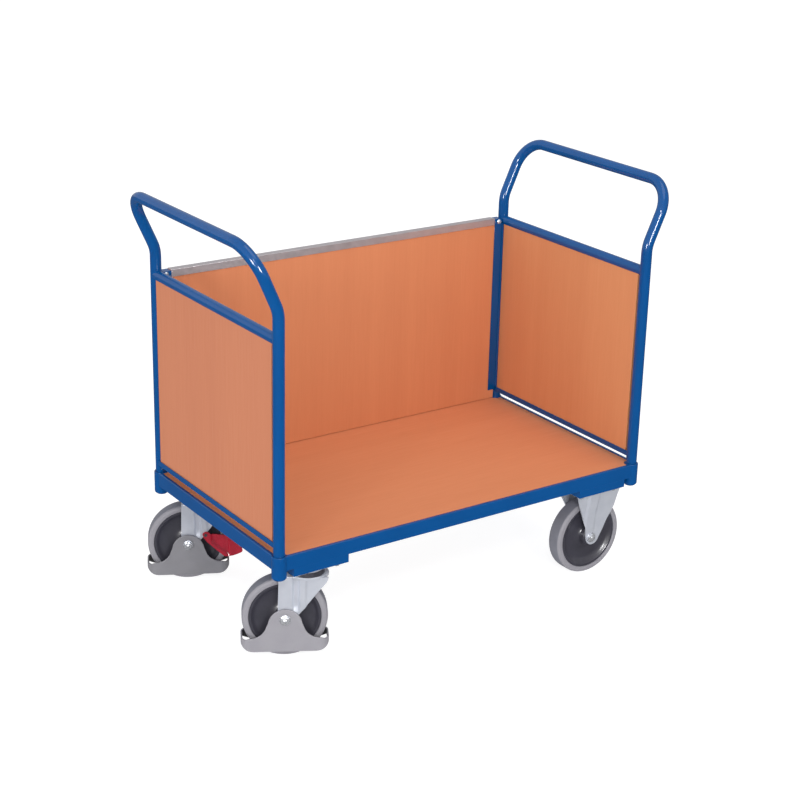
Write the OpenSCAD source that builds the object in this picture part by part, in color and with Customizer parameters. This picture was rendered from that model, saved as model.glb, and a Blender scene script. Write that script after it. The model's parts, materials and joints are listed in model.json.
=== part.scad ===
// Three-sided platform truck: steel load frame, bent tube ends, board walls, four castors.
// X runs along the load deck, Y across it, Z up from the floor. Millimetres.

/* [Load frame] */
// Distance between the post axes along the truck
post_pitch_x = 1040; // [800:10:1400]
// Distance between the post axes across the truck
post_pitch_y = 572; // [480:2:800]
// Height of the rail tops above the floor
frame_top = 291; // [285:1:330]
// Depth of a rail
rail_h = 35; // [30:1:50]
// Width of a rail's top lip
rail_lip = 9; // [7:1:16]
// Sheet thickness of the rails
rail_wall = 3; // [2:0.5:5]
// Width of the ledge that carries the deck board
ledge_w = 24; // [15:1:40]
// How far the rail faces stand outside the post axes
rail_out = 13.5; // [10:0.5:16]
// Outer diameter of a corner socket
socket_d = 35; // [33:0.5:45]
// Length of a corner socket
socket_h = 59; // [45:1:80]
// Chamfer round the closed bottom of a socket
socket_chamfer = 5; // [1:0.5:8]

/* [Deck and walls] */
// Thickness of the deck board
deck_t = 18; // [12:1:21]
// Thickness of the wall boards
board_t = 18; // [12:1:21]
// Play between a board and the steel round it
board_play = 0.5; // [0.3:0.1:2]
// Gap between the rail tops and the wall channels
wall_gap = 19; // [4:1:30]
// Height of the channel that carries an end board
channel_h = 13; // [10:1:30]
// Sheet thickness of the wall channels
channel_wall = 2; // [1:0.5:3]
// Depth of the upright channels that hold the back board
upright_depth = 22; // [16:1:40]
// Height of the upright channels' feet above the rails
upright_lift = 25; // [10:1:60]
// Height of the upright channels' tops above the floor
upright_top = 804; // [600:1:900]
// Height of the back wall's top edge above the floor
back_top = 806; // [650:1:950]
// Height of the aluminium edge trim
trim_h = 18; // [12:1:40]
// Sheet thickness of the edge trim
trim_wall = 1.5; // [1:0.5:3]

/* [Ends and handles] */
// Outer diameter of the bent end tubes
tube_d = 27; // [22:0.5:30]
// Wall of the end tubes
tube_wall = 2; // [1.5:0.5:4]
// Depth that a tube stands in its socket
tube_seat = 48; // [30:1:55]
// Height of the handle bar's axis above the floor
handle_z = 1007; // [900:1:1200]
// How far the handle bar leans out past the posts
handle_reach = 66; // [30:1:120]
// Height where the posts start to lean
bend_z = 861; // [780:1:900]
// Bending radius where the posts lean
bend_r = 80; // [40:1:160]
// Bending radius at the handle corners
corner_r = 75; // [45:1:110]
// Diameter of the upper crossbar
crossbar_d = 25; // [22:1:26]
// Height of the upper crossbar's axis
crossbar_z = 797; // [650:1:840]

/* [Castors] */
// Wheel diameter
wheel_d = 200; // [150:5:250]
// Height from the floor to the mounting plate's top
castor_h = 236; // [190:1:300]
// Tread width
tyre_w = 42; // [30:1:50]
// Depth of the tyre over the rim
tyre_t = 15.5; // [8:0.5:25]
// Castor position along the truck, in from the posts
castor_in_x = 104; // [90:1:200]
// Castor position across the truck, in from the posts
castor_in_y = 48; // [40:1:120]
// Trail of the swivel castors
trail = 52.5; // [30:0.5:70]
// Turn of the near swivel castor
near_turn = 29; // [-180:1:180]
// Turn of the far swivel castor
far_turn = 27; // [-180:1:180]
// Length of a castor plate
plate_l = 135; // [110:1:160]
// Width of a castor plate
plate_w = 110; // [90:1:130]
// Thickness of a castor plate
plate_t = 4; // [3:0.5:6]
// Bolt spacing along a castor plate
bolt_pitch_l = 105; // [80:1:125]
// Bolt spacing across a castor plate
bolt_pitch_w = 80; // [60:1:95]
// Diameter of the castor bolts
bolt_d = 10; // [6:1:12]
// Sheet thickness of the forks and brackets
fork_t = 4; // [3:0.5:6]
// Clear width between the fork legs
fork_gap = 54; // [46:1:70]
// Diameter of the wheel axles
axle_d = 12; // [10:1:20]
// Radial play of the turning fits
run_play = 0.05; // [0.02:0.01:0.1]

/* [Foot guards and brake] */
// Wall thickness of a foot guard
guard_t = 4; // [2:0.5:6]
// Clear height under a foot guard
guard_lift = 18; // [10:1:35]
// Height of a foot guard's band
guard_band = 38; // [25:1:60]
// Play between the wheel's ends and the guard's band
guard_play = 10; // [5:1:20]
// Height of the guard's wings above the floor
wing_top = 126; // [110:1:150]
// Downward travel of the brake pedal in degrees
pedal_travel = 10; // [4:1:12]

/* [Hidden] */
$fn = 64;
seam = 0.3;                                // clearance between pieces that move past each other
lap = 1;                                   // how far a straight runs into its bend
bent_r = tube_d / 2 - 0.1;                 // the bent length is a touch slimmer, as drawn tube is
half_x = post_pitch_x / 2;
half_y = post_pitch_y / 2;
tube_r = tube_d / 2;
socket_r = socket_d / 2;
frame_bottom = frame_top - rail_h;
deck_top = frame_top - 1;
ledge_z = deck_top - deck_t;
socket_bottom = frame_top - socket_h;
foot_z = frame_top - tube_seat;
wall_z = frame_top + wall_gap;             // underside of the end channels
crossbar_r = crossbar_d / 2;
// depth of the flat under the crossbar, where it is a touch wider than the board
crossbar_seat = round(sqrt(crossbar_r * crossbar_r - (board_t + 0.5) * (board_t + 0.5) / 4) * 10) / 10;
lean = atan2(handle_reach, handle_z - bend_z);
// lengths along the bent tube are whole hundredths, so that its straights and bends meet exactly
setback = round(bend_r * tan(lean / 2) * 100) / 100;
slope = round((handle_z - bend_z) / cos(lean) * 100) / 100;
castor_x = half_x - castor_in_x;
castor_y = half_y - castor_in_y;
member_h = frame_bottom - castor_h;        // depth of the castor cross members
member_w = plate_l + 11;
member_wall = 3;
wheel_r = wheel_d / 2;
axle_z = wheel_r;
axle_r = axle_d / 2;
rim_r = wheel_r - tyre_t;
hub_r = 22;
sleeve_r = axle_r + 4;
plate_z = castor_h - plate_t;              // underside of the castor plates
crown_r = 50;
crown_z = wheel_d + 3;                     // underside of the fork crown
kingpin_r = 8;
race_r = 40;
leg_y = fork_gap / 2;                      // inner face of a fork leg
wing_y = leg_y + fork_t + 1.5;             // inner face of a guard wing
guard_half_l = wheel_r * 0.925 + guard_play;
guard_half_w = wing_y + guard_t;
guard_r = 22;                              // corner radius of the guard band in plan
washer_t = 2;
nut_t = 8;
axle_end = guard_half_w + washer_t + nut_t;
hex_d = bolt_d * 1.7;
head_t = bolt_d * 0.64;
pedal_x = 44;                              // pedal pivot, ahead of the wheel axle
pedal_z = axle_z + 25;
pedal_r = 4;
pedal_nose = wheel_r + 36;
pedal_inner = wheel_r + 10;                // inner face of the pedal's bridge
wall_bolt_z = upright_top - 8;
wall_bolt_x = half_x - tube_r - 8;
// the far castor's guard reaches furthest out, so the truck stands off the middle of its own box
reach_y = castor_y + (trail + guard_half_l - guard_r) * sin(far_turn)
    + (guard_half_w - guard_r) * cos(far_turn) + guard_r;
centre_shift = (reach_y - half_y - socket_r) / 2;

steel_blue = "#185896";
beech = "#cf8155";
zinc = "#b9bcc4";
grey = "#8f8d92";
dark = "#35343a";

// ---- placing ----
module seat() {
    translate([0, -centre_shift, 0]) children();
}

// castor frame: origin on the floor under the axle, X towards the kingpin or load centre
module near_castor() {
    seat() translate([-castor_x, -castor_y, 0]) rotate(-near_turn) translate([-trail, 0, 0]) children();
}

module far_castor() {
    seat() translate([-castor_x, castor_y, 0]) rotate(-far_turn) translate([-trail, 0, 0]) children();
}

module fixed_castors() {
    seat() for (side = [-1, 1]) translate([castor_x, side * castor_y, 0]) children();
}

module fixed_castor(side) {
    seat() translate([castor_x, side * castor_y, 0]) children();
}

module on_axle() {
    translate([0, 0, axle_z]) rotate([90, 0, 0]) children();
}

module plate_corners() {
    for (x = [-1, 1], y = [-1, 1]) translate([x * bolt_pitch_l / 2, y * bolt_pitch_w / 2, 0]) children();
}

module all_plates() {
    for (x = [-1, 1], y = [-1, 1]) translate([x * castor_x, y * castor_y, 0]) children();
}

// ---- load frame ----
// rail section: x runs inwards from the outer face, y up from the rail's bottom
module rail_section() {
    ledge = ledge_z - frame_bottom;
    polygon([[0, 0], [0, rail_h - 2], [2, rail_h], [rail_lip - 1, rail_h], [rail_lip, rail_h - 1],
        [rail_lip, ledge], [rail_lip + ledge_w, ledge], [rail_lip + ledge_w, ledge - rail_wall],
        [rail_lip - rail_wall, ledge - rail_wall], [rail_lip - rail_wall, rail_h - rail_wall],
        [rail_wall, rail_h - rail_wall], [rail_wall, 0]]);
}

// a rail of the given length along Y, its outer face at x = 0, inwards along +X
module rail(length) {
    translate([0, length / 2, 0]) rotate([90, 0, 0]) linear_extrude(length) rail_section();
}

module socket_cuts() {
    for (x = [-1, 1], y = [-1, 1]) translate([x * half_x, y * half_y, frame_bottom - 1])
        cylinder(r = socket_r, h = rail_h + 2);
}

module side_rails() {
    seat() color(steel_blue) for (side = [-1, 1]) difference() {
        translate([0, side * (half_y + rail_out), frame_bottom]) rotate(side * -90) rail(post_pitch_x);
        socket_cuts();
        // mitre: the ledge stops short of the end rails
        for (x = [-1, 1]) translate([x * (half_x - ledge_w / 2), side * (half_y - ledge_w), frame_bottom - 1])
            cube([ledge_w + 3, ledge_w * 2 + 4, 2 * rail_h], center = true);
    }
}

module end_rails() {
    seat() color(steel_blue) for (side = [-1, 1]) difference() {
        translate([side * (half_x + rail_out), 0, frame_bottom]) rotate(side < 0 ? 0 : 180)
            rail(post_pitch_y - 2);
        socket_cuts();
    }
}

module corner_sockets() {
    seat() color(steel_blue) for (x = [-1, 1], y = [-1, 1]) translate([x * half_x, y * half_y, 0])
        difference() {
            union() {
                translate([0, 0, socket_bottom + socket_chamfer])
                    cylinder(r = socket_r, h = socket_h - socket_chamfer);
                translate([0, 0, socket_bottom])
                    cylinder(r1 = socket_r - socket_chamfer, r2 = socket_r, h = socket_chamfer);
            }
            translate([0, 0, foot_z]) cylinder(r = tube_r + 0.1, h = socket_h);
        }
}

// folded tray under the rails that the castor plates bolt to
module castor_members() {
    end_y = half_y + rail_out;
    seat() color(steel_blue) for (x = [-1, 1]) translate([x * castor_x, 0, castor_h]) difference() {
        translate([-member_w / 2, -end_y, 0]) cube([member_w, 2 * end_y, member_h]);
        translate([-member_w / 2 + member_wall, -end_y + member_wall, member_wall])
            cube([member_w - 2 * member_wall, 2 * (end_y - member_wall), member_h]);
        for (y = [-1, 1]) translate([0, y * castor_y, -1]) {
            cylinder(r = kingpin_r + 8, h = member_wall + 2);
            plate_corners() cylinder(r = bolt_d / 2 + 0.5, h = member_wall + 2);
        }
    }
}

module deck_board() {
    x = half_x + rail_out - rail_lip - board_play;
    y = half_y + rail_out - rail_lip - board_play;
    seat() color(beech) difference() {
        translate([-x, -y, ledge_z]) cube([2 * x, 2 * y, deck_t]);
        for (i = [-1, 1], j = [-1, 1]) translate([i * half_x, j * half_y, ledge_z - 1]) {
            cylinder(r = socket_r + 1, h = deck_t + 2);
            translate([i * socket_r, j * socket_r, deck_t / 2 + 1])
                cube([2 * socket_r + 2, 2 * socket_r + 2, deck_t + 2], center = true);
        }
    }
}

// pan heads under the ledge, driven up into the deck board
module deck_screws() {
    seat() color(zinc) for (x = [-0.33, 0, 0.33], side = [-1, 1])
        translate([x * post_pitch_x, side * (half_y + rail_out - rail_lip - ledge_w / 2 - 2), ledge_z - rail_wall - 3])
            cylinder(r = 4.5, h = 3);
}

// ---- ends ----
module tube_ring(r) {
    difference() {
        circle(r);
        circle(r - tube_wall);
    }
}

// one post of an end tube: upright, then bent to lean along +X and round to the handle bar
module tube_post(side) {
    translate([0, side * half_y, foot_z]) linear_extrude(bend_z - setback - foot_z + lap) tube_ring(tube_r);
    translate([0, side * half_y, bend_z]) rotate([0, lean, 0]) {
        translate([bend_r, 0, setback]) rotate([90, 0, 0]) rotate_extrude(angle = lean, start = 180)
            translate([bend_r, 0]) tube_ring(bent_r);
        translate([0, 0, setback]) linear_extrude(slope - corner_r - setback) tube_ring(bent_r);
        translate([0, -side * corner_r, slope - corner_r]) rotate([90, 0, 90])
            rotate_extrude(angle = 90, start = side > 0 ? 0 : 90) translate([corner_r, 0]) tube_ring(bent_r);
    }
}

module end_tube(side) {
    bar = 2 * (half_y - corner_r + lap);
    $fn = 40;
    seat() color(steel_blue) translate([side * half_x, 0, 0]) rotate(side < 0 ? 180 : 0) {
        tube_post(-1);
        tube_post(1);
        translate([0, 0, bend_z]) rotate([0, lean, 0]) translate([0, bar / 2, slope]) rotate([90, 0, 0])
            linear_extrude(bar) tube_ring(tube_r);
    }
}

module left_end_tube() { end_tube(-1); }

module right_end_tube() { end_tube(1); }

// crossbar with a flat underneath that the board's top edge meets
module crossbar(side) {
    span = post_pitch_y;
    seat() color(steel_blue) translate([side * half_x, 0, crossbar_z]) difference() {
        rotate([90, 0, 0]) cylinder(r = crossbar_r, h = span, center = true);
        translate([0, 0, -crossbar_seat - 10]) cube([crossbar_d, span - tube_d, 20], center = true);
        for (y = [-1, 1]) translate([0, y * half_y, -30]) cylinder(r = tube_r, h = 60);
    }
}

module left_crossbar() { crossbar(-1); }

module right_crossbar() { crossbar(1); }

module channel_section(width, height, wall) {
    difference() {
        translate([-width / 2, 0]) square([width, height]);
        translate([-width / 2 + wall, wall]) square([width - 2 * wall, height]);
    }
}

module end_channels() {
    width = board_t + 2 * (board_play + channel_wall);
    length = post_pitch_y;
    seat() color(steel_blue) for (side = [-1, 1]) translate([side * half_x, 0, wall_z]) difference() {
        translate([0, length / 2, 0]) rotate([90, 0, 0]) linear_extrude(length)
            channel_section(width, channel_h, channel_wall);
        for (y = [-1, 1]) translate([0, y * half_y, -1]) cylinder(r = tube_r, h = channel_h + 2);
    }
}

module end_board(side) {
    bottom = wall_z + channel_wall;
    top = crossbar_z - crossbar_seat;
    width = post_pitch_y - tube_d - 2 * board_play - 4;
    seat() color(beech) translate([side * half_x - board_t / 2, -width / 2, bottom])
        cube([board_t, width, top - bottom]);
}

module left_board() { end_board(-1); }

module right_board() { end_board(1); }

// ---- back wall ----
upright_inner = half_x - tube_r - upright_depth;   // where the uprights' flanges end
upright_cap = 2;                                   // thickness of the plate that closes an upright's top

module wall_bolt_holes(r) {
    for (x = [-1, 1]) translate([x * wall_bolt_x, half_y, wall_bolt_z]) rotate([90, 0, 0])
        cylinder(r = r, h = 2 * board_t, center = true);
}

module back_board() {
    half = half_x - tube_r - channel_wall - 1;
    bottom = deck_top + 6;
    seat() color(beech) difference() {
        translate([-half, half_y - board_t / 2, bottom]) cube([2 * half, board_t, back_top - trim_wall - bottom]);
        // the top corners stay below the uprights' tops
        for (x = [-1, 1]) translate([x * (upright_inner + half_x) / 2, half_y, upright_top - upright_cap + 20])
            cube([half_x - upright_inner, board_t + 2, 40], center = true);
        wall_bolt_holes(3.5);
    }
}

module back_uprights() {
    width = board_t + 2 * (board_play + channel_wall);
    foot = frame_top + upright_lift;
    seat() color(steel_blue) difference() {
        for (x = [-1, 1]) translate([x * (half_x - tube_r), half_y, foot]) rotate(x < 0 ? -90 : 90) {
            linear_extrude(upright_top - foot) channel_section(width, upright_depth, channel_wall);
            translate([-width / 2, 0, upright_top - upright_cap - foot]) cube([width, upright_depth, upright_cap]);
        }
        wall_bolt_holes(3.2);
    }
}

module back_trim() {
    width = board_t + 2 * (trim_wall + 0.2);
    length = 2 * upright_inner - 1;
    seat() color("silver") translate([-length / 2, half_y, back_top - trim_h]) rotate([90, 0, 90])
        linear_extrude(length) difference() {
            translate([-width / 2, 0]) square([width, trim_h]);
            translate([-width / 2 + trim_wall, -1]) square([width - 2 * trim_wall, trim_h - trim_wall + 1]);
        }
}

// round-headed bolts through the tops of the uprights
module wall_bolts() {
    face = board_t / 2 + board_play + channel_wall;
    seat() color(zinc) for (x = [-1, 1]) translate([x * wall_bolt_x, half_y, wall_bolt_z]) rotate([90, 0, 0]) {
        translate([0, 0, -face - 6]) cylinder(r = 3, h = 2 * face + 6);
        translate([0, 0, face]) cylinder(r1 = 6.5, r2 = 4, h = 3.5);
    }
}

module wall_nuts() {
    face = board_t / 2 + board_play + channel_wall;
    seat() color(zinc) for (x = [-1, 1]) translate([x * wall_bolt_x, half_y + face, wall_bolt_z])
        rotate([-90, 0, 0]) difference() {
            cylinder(r = 5.5, h = 5, $fn = 6);
            translate([0, 0, -1]) cylinder(r = 3, h = 7);
        }
}

// ---- castors ----
module castor_bolts() {
    seat() color(zinc) all_plates() translate([0, 0, plate_z]) plate_corners() {
        translate([0, 0, -head_t]) cylinder(r = hex_d / 2, h = head_t, $fn = 6);
        cylinder(r = bolt_d / 2, h = plate_t + member_wall + head_t + 3);
    }
}

module castor_nuts() {
    seat() color(zinc) all_plates() translate([0, 0, castor_h + member_wall]) plate_corners() difference() {
        cylinder(r = hex_d / 2, h = head_t, $fn = 6);
        translate([0, 0, -1]) cylinder(r = bolt_d / 2, h = head_t + 2);
    }
}

// plate with rounded corners and bolt holes, its underside at z = 0
module castor_plate(bore) {
    corner = 8;
    difference() {
        linear_extrude(plate_t) union() {
            square([plate_l - 2 * corner, plate_w], center = true);
            square([plate_l, plate_w - 2 * corner], center = true);
            for (x = [-1, 1], y = [-1, 1])
                translate([x * (plate_l / 2 - corner), y * (plate_w / 2 - corner)]) circle(corner);
        }
        translate([0, 0, -1]) plate_corners() cylinder(r = bolt_d / 2 + 0.5, h = plate_t + 2);
        translate([0, 0, -1]) cylinder(r = bore, h = plate_t + 2);
    }
}

race_bottom = crown_z + fork_t + 6;

module swivel_plates() {
    seat() color(zinc) for (side = [-1, 1]) translate([-castor_x, side * castor_y, 0]) {
        translate([0, 0, plate_z]) castor_plate(kingpin_r);
        difference() {
            translate([0, 0, race_bottom + 6]) cylinder(r1 = race_r - 2, r2 = race_r + 3, h = plate_z - race_bottom - 6);
            translate([0, 0, race_bottom]) cylinder(r = kingpin_r, h = 40);
        }
    }
}

module kingpins() {
    head = 6;
    low = crown_z - 8;
    seat() color(zinc) for (side = [-1, 1]) translate([-castor_x, side * castor_y, 0]) {
        translate([0, 0, low]) cylinder(r = kingpin_r, h = castor_h + head - low);
        translate([0, 0, castor_h]) cylinder(r = 13, h = head);
        translate([0, 0, low]) cylinder(r = 12.5, h = 8 - seam, $fn = 6);
    }
}

// cage of balls between the fork crown and the plate, in the kingpin's frame
module ball_race() {
    translate([trail, 0, 0]) difference() {
        translate([0, 0, crown_z + fork_t + seam]) cylinder(r = race_r, h = race_bottom + 6 - crown_z - fork_t - 2 * seam);
        translate([0, 0, crown_z]) cylinder(r = kingpin_r + 14, h = 40);
    }
}

// leg outline of a swivel fork: x towards the kingpin, y up
module fork_outline() {
    top = crown_z + fork_t;
    union() {
        polygon([[-17, axle_z], [-15, top], [trail + 42, top], [trail + 47, crown_z - 4], [trail + 38, crown_z - 18],
            [trail + 29, crown_z - 28], [trail + 14, axle_z + 48], [45, axle_z + 25], [28, axle_z + 6],
            [14, axle_z - 14]]);
        translate([2, axle_z]) circle(19);
    }
}

module fork() {
    top = crown_z + fork_t;
    difference() {
        union() {
            for (side = [-1, 1]) translate([0, side * (leg_y + fork_t / 2) + fork_t / 2, 0]) rotate([90, 0, 0])
                linear_extrude(fork_t) intersection() {
                    fork_outline();
                    translate([-40, 0]) square([40 + trail + crown_r - 9, top]);
                }
            translate([0, 0, crown_z]) linear_extrude(fork_t) union() {
                intersection() {
                    translate([trail, 0]) circle(crown_r);
                    translate([0, -leg_y - fork_t - 7]) square([trail + crown_r, 2 * (leg_y + fork_t + 7)]);
                }
                translate([-15, -leg_y - fork_t]) square([trail + 15, 2 * (leg_y + fork_t)]);
            }
        }
        translate([trail, 0, crown_z - 1]) cylinder(r = kingpin_r + run_play, h = fork_t + 2);
        on_axle() cylinder(r = axle_r, h = 3 * leg_y, center = true);
    }
}

module castor_axle() {
    on_axle() {
        translate([0, 0, -guard_half_w - washer_t]) cylinder(r = axle_r, h = axle_end + guard_half_w + washer_t);
        translate([0, 0, guard_half_w]) cylinder(r = axle_r + 6, h = washer_t);
        translate([0, 0, guard_half_w + washer_t]) cylinder(r = axle_r + 4, h = nut_t, $fn = 6);
    }
}

module castor_axle_nut() {
    on_axle() difference() {
        union() {
            translate([0, 0, -guard_half_w - washer_t]) cylinder(r = axle_r + 6, h = washer_t);
            translate([0, 0, -guard_half_w - washer_t - nut_t]) cylinder(r = axle_r + 4, h = nut_t, $fn = 6);
        }
        cylinder(r = axle_r, h = 4 * guard_half_w, center = true);
    }
}

module sleeve() {
    on_axle() difference() {
        cylinder(r = sleeve_r, h = fork_gap, center = true);
        cylinder(r = axle_r, h = fork_gap + 2, center = true);
    }
}

// side view of a guard wing: band below, dome round the axle above
module wing_outline() {
    band_top = guard_lift + guard_band - 6;
    dome_r = 40;
    scoop_r = 40;
    scoop_x = dome_r + scoop_r + 2;
    scoop_z = band_top + scoop_r;
    difference() {
        union() {
            translate([-guard_half_l + guard_r, guard_lift]) square([2 * (guard_half_l - guard_r), guard_band - 6]);
            translate([-scoop_x, guard_lift]) square([2 * scoop_x, scoop_z - guard_lift]);
            translate([0, wing_top - dome_r]) circle(dome_r);
        }
        for (side = [-1, 1]) translate([side * scoop_x, scoop_z]) {
            circle(scoop_r);
            translate([side * scoop_r, 0]) square(2 * scoop_r, center = true);
            translate([0, scoop_r / 2]) square([2 * scoop_r, scoop_r], center = true);
        }
    }
}

module guard_plan(inset) {
    r = guard_r - inset;
    union() {
        square([2 * (guard_half_l - inset), 2 * (guard_half_w - guard_r)], center = true);
        square([2 * (guard_half_l - guard_r), 2 * (guard_half_w - inset)], center = true);
        for (x = [-1, 1], y = [-1, 1])
            translate([x * (guard_half_l - guard_r), y * (guard_half_w - guard_r)]) circle(r);
    }
}

module guard() {
    color(grey) difference() {
        union() {
            translate([0, 0, guard_lift]) linear_extrude(guard_band - 6) difference() {
                guard_plan(0);
                guard_plan(guard_t);
            }
            for (side = [-1, 1]) translate([0, side * (wing_y + guard_t / 2) + guard_t / 2, 0]) rotate([90, 0, 0])
                linear_extrude(guard_t) wing_outline();
        }
        on_axle() cylinder(r = axle_r, h = 4 * guard_half_w, center = true);
    }
}

// ---- brake, on the far castor ----
module pedal_pins() {
    far_castor() color(zinc) for (side = [-1, 1]) translate([pedal_x, side * (wing_y + guard_t / 2), pedal_z])
        rotate([90, 0, 0]) cylinder(r = pedal_r, h = guard_t + 3, center = true);
}

module pedal_outline() {
    polygon([[pedal_x + 5, pedal_z - 21], [pedal_x - 5, pedal_z - 8], [pedal_x - 8, pedal_z + 2],
        [pedal_x - 4, pedal_z + 8], [pedal_x + 5, pedal_z + 8], [pedal_x + 14, pedal_z], [pedal_x + 30, pedal_z - 2],
        [pedal_x + 50, pedal_z - 4], [pedal_nose - 4, axle_z - 12],
        [pedal_nose, axle_z - 20], [pedal_nose - 6, axle_z - 27], [pedal_nose - 24, axle_z - 34],
        [wheel_r - 9, axle_z - 35]]);
}

module brake_pedal() {
    far_castor() color("#a81c34") difference() {
        union() {
            for (side = [-1, 1]) translate([0, side * (wing_y + guard_t / 2) + guard_t / 2, 0]) rotate([90, 0, 0])
                linear_extrude(guard_t) pedal_outline();
            translate([0, wing_y + guard_t, 0]) rotate([90, 0, 0]) linear_extrude(2 * (wing_y + guard_t))
                intersection() {
                    pedal_outline();
                    translate([pedal_inner, axle_z - 24]) square([80, 80]);
                }
        }
        translate([pedal_x, 0, pedal_z]) rotate([90, 0, 0])
            cylinder(r = pedal_r + run_play, h = 4 * wing_y, center = true);
    }
}

module brake_shoe() {
    far_castor() color(dark) translate([pedal_inner - 4, -tyre_w / 2, axle_z - 10]) cube([4, tyre_w, 20]);
}

// ---- fixed castors ----
module fixed_outline() {
    polygon([[-18, axle_z], [-30, axle_z + 60], [-56, castor_h - 20], [-plate_l / 2 + 5, plate_z],
        [plate_l / 2 + 5, plate_z], [plate_l / 2 + 6, castor_h - 20], [62, axle_z + 64], [28, axle_z - 6],
        [16, axle_z - 12]]);
    translate([4, axle_z]) circle(20);
}

// cross-section of one leg: straight by the wheel, splayed towards the plate's edge
module splay_section() {
    knee = axle_z + 45;
    top_y = plate_w / 2 - fork_t - 2;
    polygon([[leg_y, 0], [leg_y, knee], [top_y, plate_z], [top_y + fork_t, plate_z], [leg_y + fork_t, knee],
        [leg_y + fork_t, 0]]);
}

module fixed_brackets() {
    fixed_castors() color(zinc) {
        translate([0, 0, plate_z]) castor_plate(10);
        for (side = [0, 1]) mirror([0, side, 0]) difference() {
            intersection() {
                translate([-100, 0, 0]) rotate([90, 0, 90]) linear_extrude(200) splay_section();
                translate([0, 80, 0]) rotate([90, 0, 0]) linear_extrude(160) fixed_outline();
            }
            on_axle() cylinder(r = axle_r, h = 4 * leg_y, center = true);
        }
    }
}

module fixed_axles() {
    end = leg_y + fork_t;
    fixed_castors() color(zinc) on_axle() {
        translate([0, 0, -end - nut_t]) cylinder(r = axle_r, h = 2 * (end + nut_t));
        translate([0, 0, end]) cylinder(r = axle_r + 4, h = nut_t, $fn = 6);
    }
}

module fixed_axle_nuts() {
    end = leg_y + fork_t;
    fixed_castors() color(zinc) on_axle() difference() {
        translate([0, 0, -end - nut_t]) cylinder(r = axle_r + 4, h = nut_t, $fn = 6);
        cylinder(r = axle_r, h = 4 * end, center = true);
    }
}

module fixed_sleeves() {
    fixed_castors() color(zinc) sleeve();
}

// ---- wheels ----
// half section of the rim: x from the axle outwards, y along the axle
module rim_section() {
    hub = leg_y - 1;
    flange = tyre_w / 2 - 2;
    polygon([[sleeve_r + run_play, -hub], [hub_r, -hub], [hub_r + 4, -9], [hub_r + 16, -6], [rim_r - 16, -8],
        [rim_r - 9, -flange], [rim_r, -flange], [rim_r, flange], [rim_r - 9, flange], [rim_r - 16, 8],
        [hub_r + 16, 6], [hub_r + 4, 9], [hub_r, hub], [sleeve_r + run_play, hub]]);
}

module rim() {
    color(dark) on_axle() rotate_extrude($fn = 96) rim_section();
}

module tyre_section() {
    w = tyre_w / 2;
    shoulder = 7;
    union() {
        translate([rim_r, -w]) square([tyre_t - shoulder, tyre_w]);
        translate([rim_r, -w + shoulder]) square([tyre_t, tyre_w - 2 * shoulder]);
        for (y = [-1, 1]) translate([wheel_r - shoulder, y * (w - shoulder)]) circle(shoulder);
    }
}

module tyre() {
    color(grey) on_axle() rotate_extrude($fn = 96) tyre_section();
}

// ---- the castors' pieces in place ----
module near_ball_race() { near_castor() color(dark) ball_race(); }

module near_fork() { near_castor() color(zinc) fork(); }

module near_guard() { near_castor() guard(); }

module near_axle() { near_castor() color(zinc) castor_axle(); }

module near_axle_nut() { near_castor() color(zinc) castor_axle_nut(); }

module near_sleeve() { near_castor() color(zinc) sleeve(); }

module near_swivel_rim() { near_castor() rim(); }

module near_swivel_tyre() { near_castor() tyre(); }

module far_ball_race() { far_castor() color(dark) ball_race(); }

module far_fork() { far_castor() color(zinc) fork(); }

module far_guard() { far_castor() guard(); }

module far_axle() { far_castor() color(zinc) castor_axle(); }

module far_axle_nut() { far_castor() color(zinc) castor_axle_nut(); }

module far_sleeve() { far_castor() color(zinc) sleeve(); }

module far_swivel_rim() { far_castor() rim(); }

module far_swivel_tyre() { far_castor() tyre(); }

module near_fixed_rim() { fixed_castor(-1) rim(); }

module near_fixed_tyre() { fixed_castor(-1) tyre(); }

module far_fixed_rim() { fixed_castor(1) rim(); }

module far_fixed_tyre() { fixed_castor(1) tyre(); }

side_rails();
end_rails();
corner_sockets();
castor_members();
deck_board();
deck_screws();
left_end_tube();
right_end_tube();
left_crossbar();
right_crossbar();
end_channels();
left_board();
right_board();
back_board();
back_uprights();
back_trim();
wall_bolts();
wall_nuts();
castor_bolts();
castor_nuts();
swivel_plates();
kingpins();
near_ball_race();
near_fork();
near_guard();
near_axle();
near_axle_nut();
near_sleeve();
far_ball_race();
far_fork();
far_guard();
far_axle();
far_axle_nut();
far_sleeve();
pedal_pins();
brake_pedal();
brake_shoe();
fixed_brackets();
fixed_axles();
fixed_axle_nuts();
fixed_sleeves();
near_swivel_rim();
near_swivel_tyre();
far_swivel_rim();
far_swivel_tyre();
near_fixed_rim();
near_fixed_tyre();
far_fixed_rim();
far_fixed_tyre();
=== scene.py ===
import bpy, bmesh, json, math
from mathutils import Matrix, Vector


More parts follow.
